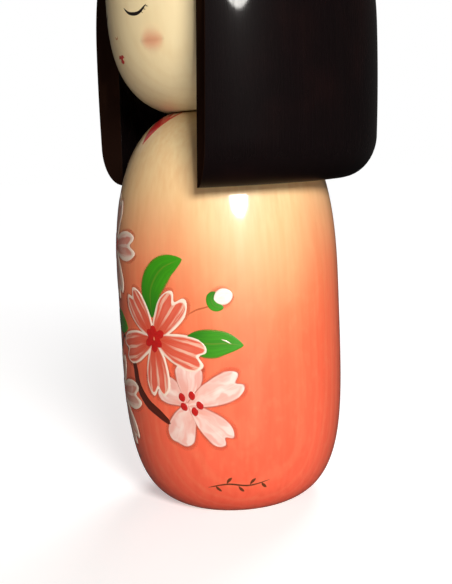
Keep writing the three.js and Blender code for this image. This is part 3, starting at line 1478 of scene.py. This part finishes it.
@dataclass
class HairHood:
    """The bob of hair, a hollow hood with a window cut out for the face."""

    bore: float = 28.6 * MM
    radius: float = 38.0 * MM
    rim: float = 77.1 * MM
    rim_round: float = 10.2 * MM
    rim_narrowing: float = 0.7 * MM
    widest: float = 112.0 * MM
    top: float = 158.5 * MM
    dome_fullness: float = 2.2
    vault_start: float = 121.0 * MM
    ceiling: float = 149.8 * MM
    vault_fullness: float = 2.35
    dowel_hole: float = 3.3 * MM
    dowel_roof: float = 154.6 * MM
    window_half: float = 32.37 * MM
    window_depth: float = 19.91 * MM
    window_cant: float = math.radians(14.5)
    window_lean: float = math.radians(2.7)
    fringe: float = 131.5 * MM
    fringe_arch: float = 2.0 * MM
    rear_steps: int = 168
    front_steps: int = 80
    wall_steps: int = 6
    rim_steps: int = 12
    side_steps: int = 12
    corner_steps: int = 9
    crown_steps: int = 30
    edge_round: float = 0.4 * MM

    @property
    def dome(self) -> Curve:
        """The outside above the widest place."""
        return Curve(self.radius, self.top - self.widest, self.dome_fullness)

    @property
    def vault(self) -> Curve:
        """The inside above the head's widest place."""
        return Curve(self.bore, self.ceiling - self.vault_start, self.vault_fullness)

    @property
    def vault_end(self) -> float:
        """How far the vault has turned at the dowel's hole."""
        return math.acos((self.dowel_hole / self.bore) ** (self.vault_fullness / 2))

    def outer_radius(self, height: float) -> float:
        """Radius of the outside at a height.

        Args:
            height: from the rim to the top.

        Returns:
            The radius, on the rounded rim, the swelling side or the dome.
        """
        side = self.radius - self.rim_narrowing
        start = self.rim + self.rim_round
        if height >= self.widest:
            return self.dome.radius_at(height - self.widest)
        if height >= start:
            share = (height - start) / (self.widest - start)
            return side + self.rim_narrowing * (1 - (1 - share) ** 2)
        turning = math.acos(1 - max(0.0, height - self.rim) / self.rim_round)
        return self.bore + (side - self.bore) * math.sin(turning)

    def inner_radius(self, height: float) -> float:
        """Radius of the inside at a height."""
        return self.vault.radius_at(max(0.0, height - self.vault_start))

    def cut_angle(self, radius: float, height: float) -> float:
        """Angle from the front at which the cut face of a lock meets a radius.

        Args:
            radius: the radius.
            height: the height, as the cut leans back on its way up.

        Returns:
            The angle in radians.
        """
        slant = math.tan(self.window_cant) / math.cos(self.window_lean)
        middle = slant * self.window_half - self.window_depth
        middle += (height - self.rim) * math.tan(self.window_lean)
        return math.atan2(1, slant) + math.asin(middle / (radius * math.hypot(1, slant)))

    def fringe_at(self, across: float) -> float:
        """Height of the fringe's arched edge at a distance from the middle."""
        arch = (self.window_half**2 + self.fringe_arch**2) / (2 * self.fringe_arch)
        return self.fringe - arch + math.sqrt(arch**2 - across**2)

    def fringe_on(self, radius_at: Callable[[float], float], angle: float | None = None) -> Point:
        """Where the fringe's edge lies on a wall.

        Args:
            radius_at: the wall's radius at a height.
            angle: the angle from the front, or None for the corner with the lock.

        Returns:
            The angle and the height.
        """
        height = self.fringe
        found = angle or 0.0
        for _ in range(12):
            radius = radius_at(height)
            found = self.cut_angle(radius, height) if angle is None else angle
            height = self.fringe_at(radius * math.sin(found))
        return found, height

    def build(self) -> None:
        """Builds the hood from its patches, welds them and rounds its cut edges."""
        mesh = bmesh.new()
        for patch in (*self._wall(True), *self._wall(False), self._dowel_hole()):
            self._add_patch(mesh, patch, 0)
        for patch in self._cuts():
            self._add_patch(mesh, patch, 1)
        bmesh.ops.remove_doubles(mesh, verts=mesh.verts, dist=WELD)
        bmesh.ops.dissolve_degenerate(mesh, edges=mesh.edges, dist=WELD)
        bmesh.ops.recalc_face_normals(mesh, faces=mesh.faces)
        for face in mesh.faces:
            face.smooth = True
        made = bpy.data.meshes.new("hair_hood")
        mesh.to_mesh(made)
        mesh.free()
        dull = Varnish(0.0, 0.3, 0.5, 0.0)
        for finish in (
            HairLacquer("black_lacquer", Varnish(0.7, 0.07, 0.4, 0.02, 1.38)),
            # The cut faces get a lighter, browner copy of the lacquer: painted reflection of the glare they
            # catch at a grazing angle.
            HairLacquer("cut_face_painted_glare", dull, paint(34, 20, 15), paint(62, 40, 28), 0.7),
        ):
            made.materials.append(finish.material())
        hood = add_piece("lacquered_hair", made, Rides.HEAD, Slot.HAIR, "hair_hood")
        rounding = hood.modifiers.new("rounded_cuts", "BEVEL")
        rounding.width = self.edge_round
        rounding.segments = 3
        rounding.limit_method = "ANGLE"
        rounding.angle_limit = math.radians(32)
        rounding.harden_normals = True

    @staticmethod
    def _add_patch(mesh: bmesh.types.BMesh, rows: list[list[Vector]], material: int) -> None:
        """Adds a patch of quads.

        Args:
            mesh: where it goes.
            rows: its rows of points.
            material: the number of its material.
        """
        made = [[mesh.verts.new(point) for point in row] for row in rows]
        for low, high in zip(made, made[1:]):
            for index in range(len(low) - 1):
                face = mesh.faces.new((low[index], low[index + 1], high[index + 1], high[index]))
                face.material_index = material

    @staticmethod
    def _at(radius: float, angle: float, height: float) -> Vector:
        """The point at an angle from the front."""
        return Vector((radius * math.sin(angle), -radius * math.cos(angle), height))

    def _lower_rows(self, outside: bool) -> list[float]:
        """Heights of the rows below the fringe's corner.

        Args:
            outside: for the outer wall, or else for the inner one, spaced as the outer one is.

        Returns:
            The heights, from the rim up.
        """
        corner = self.fringe_on(self.outer_radius)[1]
        rows = [
            self.rim + self.rim_round * (1 - math.cos(math.pi / 2 * step / self.rim_steps))
            for step in range(self.rim_steps + 1)
        ]
        start = rows[-1]
        for step in range(1, self.side_steps + 1):
            rows.append(start + (self.widest - start) * step / self.side_steps)
        for step in range(1, self.corner_steps + 1):
            rows.append(self.widest + (corner - self.widest) * step / self.corner_steps)
        if outside:
            return rows
        points = [(self.outer_radius(height), height) for height in rows]
        lengths = [0.0]
        for low, high in zip(points, points[1:]):
            lengths.append(lengths[-1] + math.dist(low, high))
        inner_corner = self.fringe_on(self.inner_radius)[1]
        return [self.rim + (inner_corner - self.rim) * length / lengths[-1] for length in lengths]

    def _wall(self, outside: bool) -> list[list[list[Vector]]]:
        """One wall of the hood: behind the window, above that, and above the fringe.

        Args:
            outside: for the outer wall, or else for the inner one.

        Returns:
            The three patches.
        """
        radius_at = self.outer_radius if outside else self.inner_radius
        curve, start = (self.dome, self.widest) if outside else (self.vault, self.vault_start)
        end = math.pi / 2 if outside else self.vault_end
        corner_angle, corner_height = self.fringe_on(radius_at)
        behind = []
        for height in self._lower_rows(outside):
            angles = self._rear_angles(self.cut_angle(radius_at(height), height))
            behind.append([self._at(radius_at(height), angle, height) for angle in angles])

        def above(angles: list[float], edges: list[float]) -> list[list[Vector]]:
            """The patch from each angle's edge up to the crown.

            Args:
                angles: where its columns stand.
                edges: the height at which each column starts.

            Returns:
                The patch, a column for each angle.
            """
            columns = []
            for angle, edge in zip(angles, edges):
                low = curve.turning_at(edge - start)
                column = []
                for step in range(self.crown_steps + 1):
                    radius, rise = curve.point(low + (end - low) * step / self.crown_steps)
                    column.append(self._at(radius, angle, start + rise))
                columns.append(column)
            return columns

        rear = self._rear_angles(corner_angle)
        front = self._front_angles(corner_angle)
        front_edges = [self.fringe_on(radius_at, angle)[1] for angle in front]
        front_edges[0] = front_edges[-1] = corner_height
        return [behind, above(rear, [corner_height] * len(rear)), above(front, front_edges)]

    def _rear_angles(self, corner: float) -> list[float]:
        """Angles round the back, from one corner to the other."""
        span = math.tau - 2 * corner
        return [corner + span * step / self.rear_steps for step in range(self.rear_steps + 1)]

    def _front_angles(self, corner: float) -> list[float]:
        """Angles across the fringe, from one corner to the other."""
        return [corner * (2 * step / self.front_steps - 1) for step in range(self.front_steps + 1)]

    def _cuts(self) -> list[list[list[Vector]]]:
        """The cut faces of the two locks and the underside of the fringe.

        Returns:
            The three patches.
        """
        shares = [step / self.wall_steps for step in range(self.wall_steps + 1)]
        locks = []
        for side in (-1, 1):
            rows = []
            for high, low in zip(self._lower_rows(True), self._lower_rows(False)):
                outer_r, inner_r = self.outer_radius(high), self.inner_radius(low)
                outer = self._at(outer_r, side * self.cut_angle(outer_r, high), high)
                inner = self._at(inner_r, side * self.cut_angle(inner_r, low), low)
                rows.append([outer.lerp(inner, share) for share in shares])
            locks.append(rows)
        edges = []
        for wall in (self.outer_radius, self.inner_radius):
            found = [self.fringe_on(wall, angle) for angle in self._front_angles(self.fringe_on(wall)[0])]
            edges.append([self._at(wall(height), angle, height) for angle, height in found])
        under = []
        for outer, inner in zip(*edges):
            row = [outer.lerp(inner, share) for share in shares]
            for point in row[1:-1]:
                point.z = self.fringe_at(point.x)
            under.append(row)
        return [*locks, under]

    def _dowel_hole(self) -> list[list[Vector]]:
        """The hole for the crown dowel, round the same columns as the inner wall.

        Returns:
            Its patch.
        """
        corner = self.fringe_on(self.inner_radius)[0]
        angles = self._front_angles(corner) + self._rear_angles(corner)[1:]
        edge = self.vault.point(self.vault_end)[1]
        rings = (
            (self.dowel_hole, self.vault_start + edge),
            (self.dowel_hole, self.dowel_roof),
            (0.0, self.dowel_roof),
        )
        return [[self._at(radius, angle, height) for angle in angles] for radius, height in rings]


@dataclass
class Pegs:
    """The neck peg and the crown dowel, which keep their shapes and get bare wood."""

    names: tuple[str, ...] = ("neck_peg", "crown_dowel")

    def build(self) -> None:
        """Dresses the two pegs."""
        wood = PlainWood(
            "bare_beech",
            Varnish(0.0, 0.5),
            pale=paint(222, 190, 142),
            dark=paint(176, 132, 84),
            pith=(-9 * MM, 5 * MM),
            figure=0.8,
        )
        for name in self.names:
            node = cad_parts[name]
            node.data.materials.clear()
            node.data.materials.append(wood.material())
            log.info("%s: CAD shape in bare wood", name)


# ---------------------------------------------------------------- studio


@dataclass
class Studio:
    """The floor, the backdrop, the lights and the camera, in metres and watts."""

    camera_distance: float = 0.240
    camera_height: float = 0.08536
    camera_azimuth: float = math.radians(63.95)
    pitch: float = math.radians(8.35)
    yaw: float = math.radians(-0.149)
    roll: float = math.radians(-2.90)
    lens: float = 60.51
    fill: float = 0.04

    def build(self) -> None:
        """Sets up the studio."""
        self._floor()
        self._backdrop()
        self._lights()
        self._camera()
        bpy.context.scene.view_settings.view_transform = "Standard"

    def _floor(self) -> None:
        """A round pale card, and below it a card that only throws light back up at the doll."""
        seen = StudioCard("studio_card", Varnish(0.0, 0.5, 0.8))
        lighting = PlainCard("bounce_card", Varnish(0.0, 0.5, 0.9))
        for name, height, finish, hidden_from in (
            ("studio_floor", 0.0, seen, "diffuse glossy shadow"),
            ("studio_bounce", -1.0 * MM, lighting, "camera glossy"),
        ):
            mesh = bmesh.new()
            place = Matrix.Translation((0.0, 0.0, height))
            bmesh.ops.create_circle(mesh, cap_ends=True, segments=96, radius=3.0, matrix=place)
            self._stage(name, mesh, finish.material(), hidden_from)

    def _backdrop(self) -> None:
        """A white dome that only the camera sees, with the weak fill of the room outside it."""
        white = bpy.data.materials.new("backdrop_white")
        white.use_nodes = True
        white.node_tree.nodes.clear()
        bench = Bench(white.node_tree)
        glow = bench.node("ShaderNodeEmission", None, {"Color": (1.0, 1.0, 1.0, 1.0), "Strength": 1.0})
        bench.node("ShaderNodeOutputMaterial", None, {"Surface": glow})
        mesh = bmesh.new()
        bmesh.ops.create_icosphere(mesh, subdivisions=4, radius=6.0)
        self._stage("studio_backdrop", mesh, white, "diffuse glossy transmission volume_scatter shadow")
        room = bpy.data.worlds.new("room")
        room.use_nodes = True
        sky = room.node_tree.nodes["Background"]
        sky.inputs["Color"].default_value = (1.0, 0.97, 0.94, 1.0)
        sky.inputs["Strength"].default_value = self.fill
        bpy.context.scene.world = room

    @staticmethod
    def _stage(name: str, mesh: bmesh.types.BMesh, material: bpy.types.Material, hidden_from: str) -> None:
        """Adds a card or a dome, which isn't part of the doll.

        Args:
            name: its name.
            mesh: its shape, which is used up.
            material: its material.
            hidden_from: the kinds of ray that don't meet it.
        """
        made = bpy.data.meshes.new(name)
        mesh.to_mesh(made)
        mesh.free()
        made.materials.append(material)
        placed = bpy.data.objects.new(name, made)
        bpy.context.scene.collection.objects.link(placed)
        for ray in hidden_from.split():
            setattr(placed, "visible_" + ray, False)

    def _lights(self) -> None:
        """A small bright key beside the camera, and two large soft lamps for the far sides."""
        warm, pale = (1.0, 0.97, 0.92), (1.0, 0.98, 0.96)
        self._lamp("key", 79.6, 20.0, 0.62, (0.19, 0.18), 4.5, warm)
        self._lamp("rear_softbox", 222.0, 35.0, 0.8, (0.5, 0.5), 4.2, pale)
        self._lamp("front_softbox", -85.0, 30.0, 0.8, (0.4, 0.4), 0.08, pale)

    @staticmethod
    def _lamp(
        name: str,
        azimuth: float,
        elevation: float,
        distance: float,
        size: tuple[float, float],
        watts: float,
        tint: tuple[float, float, float],
    ) -> None:
        """Adds an oval lamp that looks at the middle of the doll.

        Args:
            name: its name.
            azimuth, elevation: where it stands, in degrees, seen from the middle.
            distance: how far away.
            size: its width and height.
            watts: its power.
            tint: its colour.
        """
        data = bpy.data.lights.new(name, "AREA")
        data.shape = "ELLIPSE"
        data.size, data.size_y = size
        data.energy = watts
        data.color = tint
        lamp = bpy.data.objects.new(name, data)
        bpy.context.scene.collection.objects.link(lamp)
        around, up = math.radians(azimuth), math.radians(elevation)
        level = math.cos(up)
        out = Vector((math.sin(around) * level, -math.cos(around) * level, math.sin(up)))
        lamp.location = Vector((0.0, 0.0, 75 * MM)) + out * distance
        lamp.rotation_mode = "QUATERNION"
        lamp.rotation_quaternion = (-out).to_track_quat("-Z", "Y")

    def _camera(self) -> None:
        """The camera, turned to look at the doll from its left."""
        data = bpy.data.cameras.new("camera")
        data.lens = self.lens
        data.clip_start = 0.01
        data.clip_end = 20.0
        ahead = Vector(
            (
                math.sin(self.yaw) * math.cos(self.pitch),
                math.cos(self.yaw) * math.cos(self.pitch),
                -math.sin(self.pitch),
            )
        )
        level = ahead.cross(Vector((0.0, 0.0, 1.0))).normalized()
        upright = level.cross(ahead)
        right = level * math.cos(self.roll) + upright * math.sin(self.roll)
        up = upright * math.cos(self.roll) - level * math.sin(self.roll)
        facing = Matrix((right, up, -ahead)).transposed().to_4x4()
        place = Matrix.Translation((0.0, -self.camera_distance, self.camera_height))
        camera = bpy.data.objects.new("camera", data)
        bpy.context.scene.collection.objects.link(camera)
        camera.matrix_world = Matrix.Rotation(self.camera_azimuth, 4, "Z") @ place @ facing
        bpy.context.scene.camera = camera


def main() -> None:
    """Builds the doll piece by piece, then the studio."""
    logging.basicConfig(level=logging.INFO, format="%(name)s: %(message)s")
    shop = Shop()
    body = StainedBody()
    body.build(shop)
    Blossom().build(shop, body.form)
    BallHead().build(shop)
    HairHood().build()
    Pegs().build()
    Studio().build()


if __name__ == "__main__":
    main()
